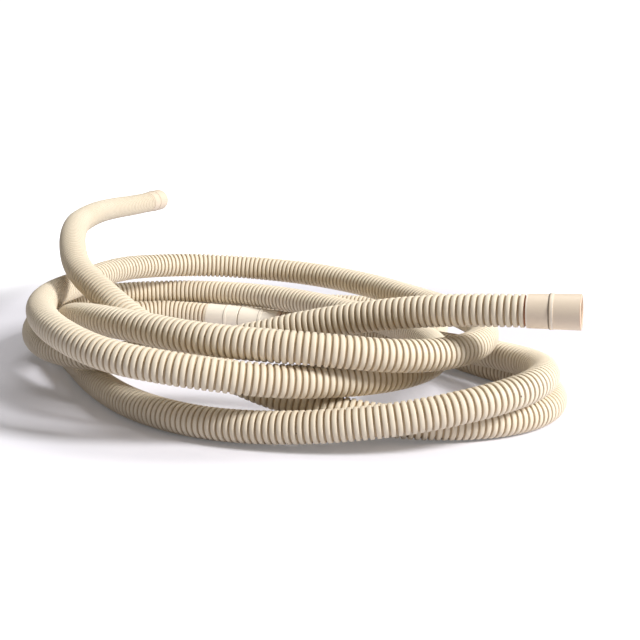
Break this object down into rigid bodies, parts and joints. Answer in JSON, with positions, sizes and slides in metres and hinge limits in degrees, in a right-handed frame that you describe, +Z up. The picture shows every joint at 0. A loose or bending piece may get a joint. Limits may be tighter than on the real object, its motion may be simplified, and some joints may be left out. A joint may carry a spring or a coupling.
{
  "type": "drain hose",
  "caption": "Long ivory corrugated plastic drain hose lying in a loose stacked coil, with a plain push-on cuff at each end and a double cuff along its length.",
  "frame": {"origin": "on the floor under the middle of the coil's outline", "axes": "+Z up; +X towards the side where the near cuff sticks out; +Y away from the near side of the coil, along the raised tail"},
  "size_m": [0.4897, 0.7165, 0.1321],
  "materials": {
    "hose_plastic": "satin ivory, ribbed",
    "cuff_plastic": "smooth satin ivory, slightly warmer than the hose"
  },
  "bodies": {
    "root": {"near_cuff": "cuff_plastic", "near_hose": "hose_plastic", "middle_cuff": "cuff_plastic", "far_hose": "hose_plastic", "far_cuff": "cuff_plastic"}
  },
  "joints": []
}
